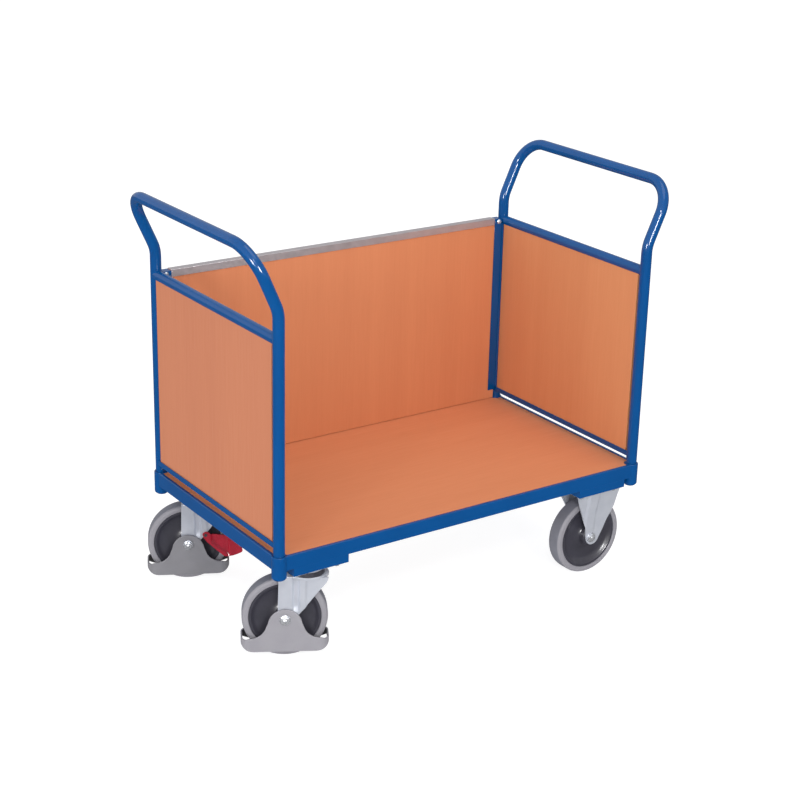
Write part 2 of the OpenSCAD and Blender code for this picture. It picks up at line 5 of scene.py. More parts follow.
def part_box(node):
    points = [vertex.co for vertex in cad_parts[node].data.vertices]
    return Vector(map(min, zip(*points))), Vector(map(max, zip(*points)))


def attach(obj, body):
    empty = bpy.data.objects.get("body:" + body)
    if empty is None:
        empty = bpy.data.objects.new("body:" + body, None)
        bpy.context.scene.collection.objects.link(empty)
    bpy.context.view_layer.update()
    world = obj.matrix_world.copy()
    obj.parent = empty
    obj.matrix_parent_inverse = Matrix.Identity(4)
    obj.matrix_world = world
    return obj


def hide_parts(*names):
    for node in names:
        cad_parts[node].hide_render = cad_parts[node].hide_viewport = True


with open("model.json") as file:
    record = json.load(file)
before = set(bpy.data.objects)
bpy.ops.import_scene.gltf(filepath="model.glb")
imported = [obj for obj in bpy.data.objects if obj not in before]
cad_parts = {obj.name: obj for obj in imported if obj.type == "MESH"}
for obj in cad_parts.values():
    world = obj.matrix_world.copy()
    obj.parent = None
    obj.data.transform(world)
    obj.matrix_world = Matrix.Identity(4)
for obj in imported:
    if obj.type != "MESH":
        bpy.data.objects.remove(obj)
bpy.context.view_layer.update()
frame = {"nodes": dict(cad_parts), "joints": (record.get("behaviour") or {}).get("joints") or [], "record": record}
nodes = frame["nodes"]
print("frame loaded:", len(nodes), "nodes")

# small helpers for positions, meshes and node materials


def boxOf(name):
    low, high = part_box(name)
    return Vector(low), Vector(high)


def middle(name):
    low, high = boxOf(name)
    return (low + high) / 2


def linear(r, g, b):
    # display colour (0-255) to linear
    out = []
    for c in (r, g, b):
        c = c / 255
        out.append(c / 12.92 if c <= 0.04045 else ((c + 0.055) / 1.055) ** 2.4)
    return (*out, 1)


def newMaterial(name):
    mat = bpy.data.materials.new(name)
    mat.use_nodes = True
    tree = mat.node_tree
    shader = tree.nodes["Principled BSDF"]
    return mat, tree, shader


def coords(tree, scale=(1, 1, 1)):
    tex = tree.nodes.new("ShaderNodeTexCoord")
    mapping = tree.nodes.new("ShaderNodeMapping")
    mapping.inputs["Scale"].default_value = scale
    tree.links.new(tex.outputs["Object"], mapping.inputs["Vector"])
    return mapping.outputs["Vector"]


def noise(tree, vector, scale, detail=3, rough=0.5):
    node = tree.nodes.new("ShaderNodeTexNoise")
    node.inputs["Scale"].default_value = scale
    node.inputs["Detail"].default_value = detail
    node.inputs["Roughness"].default_value = rough
    tree.links.new(vector, node.inputs["Vector"])
    return node.outputs["Fac"]


def remap(tree, value, low, high, toLow, toHigh):
    node = tree.nodes.new("ShaderNodeMapRange")
    node.inputs["From Min"].default_value = low
    node.inputs["From Max"].default_value = high
    node.inputs["To Min"].default_value = toLow
    node.inputs["To Max"].default_value = toHigh
    tree.links.new(value, node.inputs["Value"])
    return node.outputs["Result"]


def ramp(tree, value, stops):
    node = tree.nodes.new("ShaderNodeValToRGB")
    band = node.color_ramp
    while len(band.elements) < len(stops):
        band.elements.new(0.5)
    for element, (at, colour) in zip(band.elements, stops):
        element.position = at
        element.color = colour
    tree.links.new(value, node.inputs["Fac"])
    return node.outputs["Color"]


def mixColour(tree, factor, a, b):
    node = tree.nodes.new("ShaderNodeMix")
    node.data_type = "RGBA"
    for socket, value in ((node.inputs[0], factor), (node.inputs[6], a), (node.inputs[7], b)):
        if hasattr(value, "links"):
            tree.links.new(value, socket)
        else:
            socket.default_value = value
    return node.outputs[2]


def bump(tree, shader, height, strength, distance):
    node = tree.nodes.new("ShaderNodeBump")
    node.inputs["Strength"].default_value = strength
    node.inputs["Distance"].default_value = distance
    tree.links.new(height, node.inputs["Height"])
    tree.links.new(node.outputs["Normal"], shader.inputs["Normal"])


def plainFinish(name, colour, dark, rough, patch=16, grain=0.15, grainDepth=0.0001, coat=0.0, coatRough=0.1):
    # a finish with soft patches of tone, fine grain in the gloss and a light surface texture
    mat, tree, shader = newMaterial(name)
    where = coords(tree)
    patches = noise(tree, where, patch, 4, 0.55)
    base = ramp(tree, patches, [(0.35, linear(*dark)), (0.65, linear(*colour))])
    fine = noise(tree, where, 900, 2, 0.6)
    tree.links.new(base, shader.inputs["Base Color"])
    tree.links.new(remap(tree, fine, 0.3, 0.7, rough * 0.85, min(1, rough * 1.15)), shader.inputs["Roughness"])
    shader.inputs["Coat Weight"].default_value = coat
    shader.inputs["Coat Roughness"].default_value = coatRough
    bump(tree, shader, fine, grain, grainDepth)
    return mat


# powder-coated blue steel: gloss with a slight orange peel
bluePaint = {"colour": (0, 74, 136), "dark": (0, 70, 130), "rough": 0.3, "peel": 420, "specular": 0.05,
             "coat": 0.6, "coatRough": 0.05}


def makeBlue():
    mat, tree, shader = newMaterial("bluePowderCoat")
    where = coords(tree)
    patches = noise(tree, where, 9, 3, 0.5)
    base = ramp(tree, patches, [(0.3, linear(*bluePaint["dark"])), (0.7, linear(*bluePaint["colour"]))])
    tree.links.new(base, shader.inputs["Base Color"])
    peel = noise(tree, where, bluePaint["peel"], 2, 0.5)
    tree.links.new(remap(tree, peel, 0.3, 0.7, bluePaint["rough"] * 0.94, bluePaint["rough"] * 1.06),
                   shader.inputs["Roughness"])
    shader.inputs["Specular IOR Level"].default_value = bluePaint["specular"]
    shader.inputs["Coat Weight"].default_value = bluePaint["coat"]
    shader.inputs["Coat Roughness"].default_value = bluePaint["coatRough"]
    bump(tree, shader, peel, 0.02, 0.0001)
    return mat


# laminated board with a fine straight grain; the grain runs along one axis
boardLook = {"rough": 0.55, "specular": 0.2, "broad": 1.1, "fine": 16}


def makeBoard(name, along, face, deep, pore):
    mat, tree, shader = newMaterial(name)
    stretch = {"X": (0.6, 14, 14), "Y": (14, 0.6, 14), "Z": (14, 14, 0.6)}[along]
    where = coords(tree, scale=stretch)
    broad = noise(tree, where, boardLook["broad"], 4, 0.55)
    fine = noise(tree, where, boardLook["fine"], 3, 0.6)
    base = ramp(tree, broad, [(0.3, linear(*deep)), (0.7, linear(*face))])
    streak = remap(tree, fine, 0.35, 0.62, 0.12, 0.0)
    tree.links.new(mixColour(tree, streak, base, linear(*pore)), shader.inputs["Base Color"])
    tree.links.new(remap(tree, fine, 0.3, 0.7, boardLook["rough"] * 1.15, boardLook["rough"] * 0.9),
                   shader.inputs["Roughness"])
    shader.inputs["Specular IOR Level"].default_value = boardLook["specular"]
    bump(tree, shader, fine, 0.06, 0.0002)
    return mat


# zinc-plated sheet: satin metal with a faint spangle
def makeZinc(name, light, dark, rough, metal):
    mat, tree, shader = newMaterial(name)
    where = coords(tree)
    cells = tree.nodes.new("ShaderNodeTexVoronoi")
    cells.inputs["Scale"].default_value = 130
    tree.links.new(where, cells.inputs["Vector"])
    cloudy = noise(tree, where, 30, 4, 0.6)
    base = ramp(tree, cloudy, [(0.3, linear(*dark)), (0.7, linear(*light))])
    tree.links.new(base, shader.inputs["Base Color"])
    satin = remap(tree, cells.outputs["Distance"], 0, 0.8, rough * 0.85, rough * 1.2)
    tree.links.new(satin, shader.inputs["Roughness"])
    shader.inputs["Metallic"].default_value = metal
    bump(tree, shader, noise(tree, where, 700, 2, 0.5), 0.06, 0.0001)
    return mat


blue = makeBlue()
deckFinish = makeBoard("deckBoard", "X", (214, 138, 98), (210, 134, 94), (199, 124, 85))
# the deck's underside is the same board in a dark tone: painted shade under the truck
deckUnderShade = makeBoard("deckPaintedShadeUnderside", "X", (104, 84, 72), (98, 79, 68), (84, 66, 56))
backFinish = makeBoard("backBoard", "Z", (211, 134, 92), (205, 128, 87), (192, 116, 78))
# the left board takes a darker tone of the same board: painted shade
leftShadedBoard = makeBoard("leftPaintedShadeBoard", "Z", (194, 123, 90), (190, 119, 87), (181, 111, 80))
# the right board takes a lighter tone of the same board: painted light on its inner face
rightLitBoard = makeBoard("rightPaintedLightBoard", "Z", (209, 140, 97), (204, 134, 92), (193, 122, 82))
zinc = makeZinc("zincPlate", (203, 206, 215), (195, 199, 209), 0.32, 0.36)
boltZinc = makeZinc("boltZinc", (222, 224, 228), (204, 206, 212), 0.24, 0.7)
trimMetal = makeZinc("trimAluminium", (196, 190, 194), (186, 180, 184), 0.36, 0.75)
tyreRubber = plainFinish("greyTyre", (140, 138, 145), (132, 130, 137), 0.62, patch=14, grain=0.2)
treadRubber = plainFinish("greyTread", (118, 119, 129), (110, 111, 121), 0.7, patch=14, grain=0.3)
rimPlastic = plainFinish("darkRim", (62, 61, 71), (54, 53, 62), 0.32, patch=20, grain=0.08, coat=0.3, coatRough=0.12)
guardPlastic = plainFinish("greyGuard", (149, 147, 153), (141, 139, 146), 0.5)
guardInside = plainFinish("guardInside", (58, 57, 60), (50, 49, 52), 0.7)
# the far guard is the same plastic as the near one in a darker tone: painted shade
farGuardPaintedShade = plainFinish("farGreyGuardShaded", (127, 126, 131), (120, 119, 124), 0.5)
pedalPaint = plainFinish("redPedal", (186, 14, 48), (164, 8, 38), 0.3, patch=30, grain=0.05, grainDepth=0.00005,
                         coat=0.4)
shoeRubber = plainFinish("shoeRubber", (40, 39, 42), (30, 29, 32), 0.75, patch=40, grain=0.3, grainDepth=0.0002)
raceMetal = makeZinc("raceSteel", (96, 96, 104), (70, 70, 78), 0.45, 0.7)

finishOf = {"blue_steel": blue, "board": backFinish, "zinc": zinc, "trim": trimMetal, "tyre": tyreRubber,
            "rim": rimPlastic, "guard": guardPlastic, "pedal": pedalPaint, "shoe": shoeRubber, "race": raceMetal}
# the left board takes its painted-shade tone and the right board its painted-light tone
ownFinish = {"deck_board": deckFinish, "left_board": leftShadedBoard, "right_board": rightLitBoard, "kingpins": boltZinc,
             "deck_screws": boltZinc, "wall_bolts": boltZinc, "wall_nuts": boltZinc, "castor_bolts": boltZinc,
             "castor_nuts": boltZinc, "near_axle": boltZinc, "far_axle": boltZinc, "near_axle_nut": boltZinc,
             "far_axle_nut": boltZinc, "fixed_axles": boltZinc, "fixed_axle_nuts": boltZinc, "pedal_pins": raceMetal}
slotOf = {row["node"]: row["material_slot"] for row in frame["record"]["subparts"]}
for name, obj in nodes.items():
    mat = ownFinish.get(name) or finishOf[slotOf[name]]
    obj.data.materials.clear()
    obj.data.materials.append(mat)
print("finishes assigned")

# rounded copies of CAD pieces: the same shape with the small edge radii that catch the light
jointAt = {row["name"]: Vector(row["pos_m"]) for row in frame["joints"]}
bodyOf = {name: body for body, names in frame["record"]["behaviour"]["bodies"].items() for name in names}


def addPiece(bm, name, body, mat, hidden=(), sharp=35):
    mesh = bpy.data.meshes.new(name)
    bm.to_mesh(mesh)
    bm.free()
    mesh.materials.append(mat)
    for face in mesh.polygons:
        face.use_smooth = True
    mesh.set_sharp_from_angle(angle=math.radians(sharp))
    obj = bpy.data.objects.new(name, mesh)
    bpy.context.scene.collection.objects.link(obj)
    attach(obj, body)
    if hidden:
        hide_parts(*hidden)
    return obj


def addBevel(obj, width, segments=2, angle=35):
    mod = obj.modifiers.new("edges", "BEVEL")
    mod.width = width
    mod.segments = segments
    mod.limit_method = "ANGLE"
    mod.angle_limit = math.radians(angle)
    mod.harden_normals = False
    mod.use_clamp_overlap = True


def roundedCopy(node, width, mat):
    bm = bmesh.new()
    bm.from_mesh(nodes[node].data)
    bmesh.ops.remove_doubles(bm, verts=bm.verts, dist=0.000005)
    bmesh.ops.dissolve_limit(bm, angle_limit=math.radians(0.5), verts=bm.verts, edges=bm.edges,
                             delimit={"NORMAL"})
    obj = addPiece(bm, "round_" + node, bodyOf[node], mat, hidden=[node])
    addBevel(obj, width)
    return obj


def castorFrame(swivel, roll):
    # X from the axle towards the kingpin, Z up, origin on the floor below the axle, millimetres
    axle = jointAt[roll]
    ahead = Vector((1, 0, 0))
    if swivel:
        ahead = jointAt[swivel] - axle
        ahead.z = 0
        ahead.normalize()
    across = Vector((0, 0, 1)).cross(ahead)
    turn = Matrix((ahead, across, Vector((0, 0, 1)))).transposed().to_4x4()
    return Matrix.Translation((axle.x, axle.y, 0)) @ turn @ Matrix.Scale(0.001, 4)


def arc(centre, radius, start, end, steps):
    out = []
    for i in range(steps + 1):
        a = math.radians(start + (end - start) * i / steps)
        out.append((centre[0] + radius * math.cos(a), centre[1] + radius * math.sin(a)))
    return out


def smoothStep(x):
    x = min(1, max(0, x))
    return x * x * (3 - 2 * x)


def alongBand(s, table):
    # depth at s from a table of (s, depth), eased between its rows
    if s <= table[0][0]:
        return table[0][1]
    for (a, da), (b, db) in zip(table, table[1:]):
        if s <= b:
            return da + (db - da) * smoothStep((s - a) / (b - a))
    return table[-1][1]


def outlineFace(bm, outline):
    verts = [bm.verts.new((s, 0, z)) for s, z in outline]
    return bm.faces.new(verts)


def pressedLeg(outline, columns, rows, offset, thickness, side):
    # a leg cut from sheet and pressed: its outline is split in a grid, shaped, then given its thickness
    bm = bmesh.new()
    outlineFace(bm, outline)
    for axis, places in ((0, columns), (2, rows)):
        for at in places:
            point = [0, 0, 0]
            normal = [0, 0, 0]
            point[axis] = at
            normal[axis] = 1
            bmesh.ops.bisect_plane(bm, geom=bm.verts[:] + bm.edges[:] + bm.faces[:], plane_co=point, plane_no=normal)
    bmesh.ops.triangulate(bm, faces=[f for f in bm.faces if len(f.verts) > 4])
    for v in bm.verts:
        v.co.y = side * offset(v.co.x, v.co.z)
    bmesh.ops.recalc_face_normals(bm, faces=bm.faces)
    if sum(f.normal.y for f in bm.faces) * side < 0:
        bmesh.ops.reverse_faces(bm, faces=bm.faces)
    bmesh.ops.solidify(bm, geom=bm.faces[:], thickness=thickness)
    bmesh.ops.recalc_face_normals(bm, faces=bm.faces)
    return bm


def merge(parts):
    out = bmesh.new()
    for bm in parts:
        mesh = bpy.data.meshes.new("part")
        bm.to_mesh(mesh)
        bm.free()
        out.from_mesh(mesh)
        bpy.data.meshes.remove(mesh)
    return out


def spunPart(profile, steps, axis="Y", centre=(0, 0, 0)):
    # a profile of (radius, height) turned once round its axis
    bm = bmesh.new()
    verts = [bm.verts.new((r, 0, h)) for r, h in profile]
    edges = [bm.edges.new(pair) for pair in zip(verts, verts[1:])]
    bmesh.ops.spin(bm, geom=verts + edges, cent=(0, 0, 0), axis=(0, 0, 1), angle=math.tau, steps=steps,
                   use_merge=True)
    bmesh.ops.remove_doubles(bm, verts=bm.verts, dist=0.001)
    bmesh.ops.recalc_face_normals(bm, faces=bm.faces)
    if axis == "Y":
        bmesh.ops.rotate(bm, verts=bm.verts, cent=(0, 0, 0), matrix=Matrix.Rotation(math.radians(90), 3, "X"))
    bmesh.ops.translate(bm, verts=bm.verts, vec=centre)
    return bm


def boxPart(low, high):
    bm = bmesh.new()
    bmesh.ops.create_cube(bm, size=1)
    low, high = Vector(low), Vector(high)
    bmesh.ops.scale(bm, verts=bm.verts, vec=high - low)
    bmesh.ops.translate(bm, verts=bm.verts, vec=(low + high) / 2)
    return bm


def hexPart(radius, low, high, centre, out=1):
    # a hexagon nut along Y from low to high, with its corners turned down on the outer face
    bm = bmesh.new()
    bmesh.ops.create_cone(bm, cap_ends=True, segments=6, radius1=radius, radius2=radius, depth=high - low)
    bmesh.ops.rotate(bm, verts=bm.verts, cent=(0, 0, 0), matrix=Matrix.Rotation(math.radians(90), 3, "X"))
    bmesh.ops.bevel(bm, geom=bm.edges[:], offset=radius * 0.09, segments=2, profile=0.5, affect="EDGES",
                    material=-1)
    bmesh.ops.translate(bm, verts=bm.verts, vec=(centre[0], out * (low + high) / 2, centre[1]))
    return bm


# swivel fork: two pressed legs under a round crown
forkLook = {"inner": 27, "sheet": 4, "crownRadius": 50, "crownLow": 203, "crownTop": 207,
            "outline": arc((2, 100), 19, 185, 335, 10) + [
                (29, 107), (45, 127), (64, 152), (81, 174), (90, 184), (97, 194), (100, 204), (-15, 204), (-17, 110)],
            "ribs": [(10, 0), (16, 0.3), (20, -4.3), (29, -4.3), (34, 3.4), (45, 3.4), (52, 0)], "crownDepth": 0.76,
            "ribsFrom": 112, "ribsOver": 22, "crownBore": 11, "bridgeStart": -15, "bridgeHalf": 31}


def makeFork(name, body, place, kingpinAt, hidden):
    def offset(s, z):
        fade = smoothStep((z - forkLook["ribsFrom"]) / forkLook["ribsOver"])
        return forkLook["inner"] + forkLook["sheet"] + alongBand(s, forkLook["ribs"]) * fade
    columns = [-8, 0] + [8 + 2 * i for i in range(28)] + [70, 80, 90]
    rows = [110, 114, 118, 122, 126, 130, 134, 145, 160, 175, 190, 198]
    parts = [pressedLeg(forkLook["outline"], columns, rows, offset, forkLook["sheet"], side) for side in (-1, 1)]
    r, low, top = forkLook["crownRadius"], forkLook["crownLow"], forkLook["crownTop"]
    bore = forkLook["crownBore"]
    crown = spunPart([(bore, low), (r - 3, low), (r - 0.6, low - 3), (r - 0.2, low - 3), (r, low + 1),
                      (r - 0.8, top - 0.4), (r - 2.5, top), (bore, top), (bore, low)], 64, axis="Z")
    bmesh.ops.scale(crown, verts=crown.verts, vec=(1, forkLook["crownDepth"], 1))
    bmesh.ops.translate(crown, verts=crown.verts, vec=(kingpinAt, 0, 0))
    parts.append(crown)
    start, half = forkLook["bridgeStart"], forkLook["bridgeHalf"]
    bridge = boxPart((start, -half, low), (kingpinAt, half, top))
    bmesh.ops.bevel(bridge, geom=bridge.edges[:], offset=1.5, segments=3, profile=0.5, affect="EDGES", material=-1)
    parts.append(bridge)
    bm = merge(parts)
    bmesh.ops.transform(bm, matrix=place, verts=bm.verts)
    addPiece(bm, name, body, zinc, hidden=hidden, sharp=50)


# foot guard: a moulded band round the wheel with a wing rising to the axle on each side
guardLook = {"halfLength": 102.5, "halfWidth": 36.5, "corner": 22, "wall": 4, "low": 18, "domeTop": 126,
             "dome": 40, "domeEnd": 40.5, "scoop": 40, "scoopAt": 82, "scoopZ": 92, "scoopRun": 14, "endTop": 48,
             "lowFrom": 70, "lowRun": 33, "lowRise": 22, "bevel": 0.0011}


def guardTop(s, y):
    s = abs(s)
    g = guardLook
    if abs(y) < g["halfWidth"] - 1 or s > g["scoopAt"]:
        floor = g["scoopZ"] - g["scoop"]
        return floor + (g["endTop"] - floor) * smoothStep((s - g["scoopAt"]) / g["scoopRun"])
    if s < g["domeEnd"]:
        return g["domeTop"] - g["dome"] + math.sqrt(max(9, g["dome"] ** 2 - s * s))
    return g["scoopZ"] - math.sqrt(max(0, g["scoop"] ** 2 - (g["scoopAt"] - s) ** 2))


def guardLow(s):
    t = min(1, max(0, (abs(s) - guardLook["lowFrom"]) / guardLook["lowRun"]))
    return guardLook["low"] + guardLook["lowRise"] * (1 - math.sqrt(1 - 0.96 * t * t))


def sortMesh(bm):
    # extrude leaves its new corners in any order, so they are put in one order for every run
    def rank(point):
        return point.x + 3.7 * point.y + 11.3 * point.z
    bm.verts.sort(key=lambda v: rank(v.co))
    bm.edges.sort(key=lambda e: rank((e.verts[0].co + e.verts[1].co) / 2))
    bm.faces.sort(key=lambda f: rank(f.calc_center_median()))


def makeGuard(name, body, place, mat, hidden):
    g = guardLook
    straight, side = g["halfLength"] - g["corner"], g["halfWidth"] - g["corner"]
    run = [(-straight + 2 * straight * i / 60, -g["halfWidth"]) for i in range(61)]
    run += arc((straight, -side), g["corner"], -90, 0, 14)[1:] + arc((straight, side), g["corner"], 0, 90, 14)
    outline = run + [(-s, -y) for s, y in run if abs(abs(s) - straight) > 0.01 or y < 0]
    outline = [p for i, p in enumerate(outline) if math.dist(p, outline[i - 1]) > 0.01]
    bm = bmesh.new()
    verts = [bm.verts.new((s, y, 0)) for s, y in outline]
    edges = [bm.edges.new((verts[i - 1], verts[i])) for i in range(len(verts))]
    raised = bmesh.ops.extrude_edge_only(bm, edges=edges)["geom"]
    top = [v for v in raised if isinstance(v, bmesh.types.BMVert)]
    for v in verts:
        v.co.z = guardLow(v.co.x)
    for v in top:
        v.co.z = guardTop(v.co.x, v.co.y)
    sortMesh(bm)
    bmesh.ops.recalc_face_normals(bm, faces=bm.faces)
    if sum(f.normal.dot(f.calc_center_median() * Vector((1, 1, 0))) for f in bm.faces) < 0:
        bmesh.ops.reverse_faces(bm, faces=bm.faces)
    bmesh.ops.solidify(bm, geom=bm.faces[:], thickness=g["wall"])
    bmesh.ops.recalc_face_normals(bm, faces=bm.faces)
    # the inner faces take a darker tone, which stands in for their shade
    for face in bm.faces:
        spot = face.calc_center_median()
        inside = abs(spot.x) < g["halfLength"] - 2 and abs(spot.y) < g["halfWidth"] - 2
        if inside and face.normal.dot(spot * Vector((1, 1, 0))) < 0 and abs(face.normal.z) < 0.3:
            face.material_index = 1
    bmesh.ops.transform(bm, matrix=place, verts=bm.verts)
    obj = addPiece(bm, name, body, mat, hidden=hidden, sharp=40)
    obj.data.materials.append(guardInside)
    addBevel(obj, g["bevel"], 3, 60)


# wheel: a rubber tyre with a darker tread, on a dished plastic rim
wheelLook = {"radius": 100, "rimRadius": 84.5, "halfWidth": 21, "shoulder": 8, "hub": 22, "hubEnd": 26,
             "bore": 10.06, "dish": [(38, 7), (60, 8.5), (70, 10.5), (75, 14)]}


def makeWheel(prefix, body, place, hiddenRim, hiddenTyre):
    w = wheelLook
    flank = w["halfWidth"]
    side = [(w["rimRadius"], flank - 2.2), (w["rimRadius"] + 0.6, flank - 0.6), (w["rimRadius"] + 2.2, flank)]
    side += [(w["radius"] - w["shoulder"], flank)]
    side += [(r, h) for r, h in arc((w["radius"] - w["shoulder"], flank - w["shoulder"]), w["shoulder"], 80, 0, 7)]
    profile = side + [(r, -h) for r, h in reversed(side)] + [side[0]]
    tyre = spunPart(profile, 128, centre=(0, 0, w["radius"]))
    for face in tyre.faces:
        face.material_index = 1 if abs(face.normal.y) < 0.3 else 0
    bmesh.ops.transform(tyre, matrix=place, verts=tyre.verts)
    tyreObject = addPiece(tyre, prefix + "Tyre", body, tyreRubber, hidden=[hiddenTyre], sharp=60)
    tyreObject.data.materials.append(treadRubber)
    face = [(w["bore"], w["hubEnd"]), (w["hub"] - 2, w["hubEnd"]), (w["hub"], w["hubEnd"] - 2),
            (w["hub"] + 2, 12), (w["hub"] + 5, 9.5)] + w["dish"]
    face += [(77.5, flank - 3.4), (79, flank - 2.4), (83.4, flank - 2.4), (84.4, flank - 3.4), (84.4, 0)]
    profile = face + [(r, -h) for r, h in reversed(face[:-1])] + [face[0]]
    rim = spunPart(profile, 96, centre=(0, 0, w["radius"]))
    bmesh.ops.transform(rim, matrix=place, verts=rim.verts)
    addPiece(rim, prefix + "Rim", body, rimPlastic, hidden=[hiddenRim], sharp=32)


# fixed castor: splayed legs pressed from the plate, with a raised rib down the middle
bracketLook = {"inner": 27, "sheet": 4, "knee": 140, "top": 232, "flare": 17,
               "outline": arc((4, 100), 20, 190, 330, 10) + [
                   (28, 102), (40, 122), (60, 160), (66, 178), (71, 214), (73, 232), (-63, 232), (-56, 214),
                   (-42, 184), (-30, 158), (-22, 130), (-17, 104)],
               "ribs": [(-28, -3.2), (-21, 2.4), (3, 2.4), (10, -1.2), (60, -1.2)],
               "ribsFrom": 108, "ribsOver": 24,
               "plateHalf": (67.5, 55), "plateTop": 236, "plateCorner": 8}


def makeBrackets():
    b = bracketLook

    def offset(s, z):
        flare = b["flare"] * max(0, (z - b["knee"]) / (b["top"] - b["knee"])) ** 1.15
        fade = smoothStep((z - b["ribsFrom"]) / b["ribsOver"])
        return b["inner"] + b["sheet"] + flare + alongBand(s, b["ribs"]) * fade
    columns = [-52, -46, -40, -36] + [-32 + 2 * i for i in range(26)] + [26, 40, 50, 60]
    rows = [105 + 5 * i for i in range(26)]
    parts = []
    for roll in ("near_fixed_roll", "far_fixed_roll"):
        place = castorFrame(None, roll)
        for side in (-1, 1):
            leg = pressedLeg(b["outline"], columns, rows, offset, b["sheet"], side)
            bmesh.ops.transform(leg, matrix=place, verts=leg.verts)
            parts.append(leg)
        halfX, halfY = b["plateHalf"]
        plate = boxPart((-halfX, -halfY, b["top"]), (halfX, halfY, b["plateTop"]))
        upright = [e for e in plate.edges if abs(e.verts[0].co.z - e.verts[1].co.z) > 1]
        bmesh.ops.bevel(plate, geom=upright, offset=b["plateCorner"], segments=5, profile=0.5, affect="EDGES",
                        material=-1)
        bmesh.ops.bevel(plate, geom=[e for e in plate.edges if e.calc_face_angle(0) > 1], offset=0.7, segments=2,
                        profile=0.5, affect="EDGES", material=-1)
        bmesh.ops.transform(plate, matrix=place, verts=plate.verts)
        parts.append(plate)
    addPiece(merge(parts), "fixedBrackets", "truck", zinc, hidden=["fixed_brackets"], sharp=50)


# hexagon nut on a washer with the bolt's rounded end
nutLook = {"radius": 10.9, "washer": 1.8, "boltEnd": 5.4, "shank": 5.9}


def nutStack(centre, face, side, reach):
    n = nutLook
    radius, over = n["radius"], face + n["washer"]
    washerProfile = [(0, face), (radius + 2.2, face), (radius + 2.5, face + 0.6), (radius + 2.1, over), (0, over)]
    endProfile = [(0, face + reach), (3.2, face + reach - 0.5), (n["boltEnd"], face + reach - 2.2),
                  (n["boltEnd"], face), (0, face)]
    turned = []
    for profile, steps in ((washerProfile, 32), (endProfile, 24)):
        part = spunPart(profile, steps)
        if side > 0:
            for v in part.verts:
                v.co.y = -v.co.y
        bmesh.ops.translate(part, verts=part.verts, vec=(centre[0], 0, centre[1]))
        bmesh.ops.recalc_face_normals(part, faces=part.faces)
        turned.append(part)
    nut = hexPart(radius, over, face + reach - 2, centre, side)
    return [turned[0], nut, turned[1]]


def makeAxle(name, body, place, face, reach, hidden):
    shank, height = nutLook["shank"], wheelLook["radius"]
    rod = spunPart([(0, face), (shank, face), (shank, -face), (0, -face)], 32, centre=(0, 0, height))
    bm = merge([rod] + nutStack((0, height), face, -1, reach) + nutStack((0, height), face, 1, reach))
    bmesh.ops.transform(bm, matrix=place, verts=bm.verts)
    addPiece(bm, name, body, boltZinc, hidden=hidden, sharp=32)


# brake pedal: two pressed cheeks joined by a bridge ahead of the tread
pedalLook = {"outer": 36.5, "sheet": 4, "lip": 9, "dent": 6, "bridgeHalf": 31, "bevel": 0.0008,
             "lipStart": (49, 104), "lipSlope": 38.8 / 43, "dishFrom": 56, "dishTo": 104,
             "outline": [(49, 104), (39, 117), (36, 127), (38, 131.5), (43, 134), (50, 132.5), (58, 125.5), (74, 123),
                         (94, 120.5), (114, 105), (132, 88), (135, 84), (136, 80), (134.5, 75.5), (130, 73),
                         (121, 69.5), (112, 66.5), (102, 65), (92, 65.2), (88, 67)],
             "bridge": [(110, 76), (110, 107), (114, 104.5), (131.5, 88), (134.5, 84), (135.5, 80), (133.5, 76)]}


def prismPart(outline, low, high):
    bm = bmesh.new()
    face = outlineFace(bm, outline)
    moved = bmesh.ops.extrude_face_region(bm, geom=[face])["geom"]
    for v in bm.verts:
        v.co.y = low
    for item in moved:
        if isinstance(item, bmesh.types.BMVert):
            item.co.y = high
    bmesh.ops.recalc_face_normals(bm, faces=bm.faces)
    return bm


def makePedal(name, body, place, hidden):
    p = pedalLook

    def offset(s, z):
        # a dished middle between the lower lip, the nose and the boss round the pivot
        startS, startZ = p["lipStart"]
        above = z - startZ + (s - startS) * p["lipSlope"]
        dish = smoothStep((above - p["lip"]) / 4)
        dish *= smoothStep((s - p["dishFrom"]) / 5) * smoothStep((p["dishTo"] - s) / 5)
        return p["outer"] - p["dent"] * dish
    columns = [44 + 3 * i for i in range(30)]
    rows = [68 + 4 * i for i in range(16)]
    parts = [pressedLeg(p["outline"], columns, rows, offset, p["sheet"], side) for side in (-1, 1)]
    parts.append(prismPart(p["bridge"], -p["bridgeHalf"], p["bridgeHalf"]))
    bm = merge(parts)
    bmesh.ops.transform(bm, matrix=place, verts=bm.verts)
    obj = addPiece(bm, name, body, pedalPaint, hidden=hidden, sharp=50)
    addBevel(obj, p["bevel"], 2, 60)


nearPlace = castorFrame("near_swivel", "near_swivel_roll")
farPlace = castorFrame("far_swivel", "far_swivel_roll")
kingpinAt = (jointAt["near_swivel"] - jointAt["near_swivel_roll"]).to_2d().length * 1000
makeFork("nearFork", "near_castor", nearPlace, kingpinAt, ["near_fork"])
makeFork("farFork", "far_castor", farPlace, kingpinAt, ["far_fork"])
makeGuard("nearGuard", "near_castor", nearPlace, guardPlastic, ["near_guard"])
# the far guard takes the darker tone, painted shade
makeGuard("farGuard", "far_castor", farPlace, farGuardPaintedShade, ["far_guard"])
makeWheel("nearSwivel", "near_swivel_wheel", nearPlace, "near_swivel_rim", "near_swivel_tyre")
makeWheel("farSwivel", "far_swivel_wheel", farPlace, "far_swivel_rim", "far_swivel_tyre")
nearFixedPlace = castorFrame(None, "near_fixed_roll")
farFixedPlace = castorFrame(None, "far_fixed_roll")
makeWheel("nearFixed", "near_fixed_wheel", nearFixedPlace, "near_fixed_rim", "near_fixed_tyre")
makeWheel("farFixed", "far_fixed_wheel", farFixedPlace, "far_fixed_rim", "far_fixed_tyre")
makeBrackets()
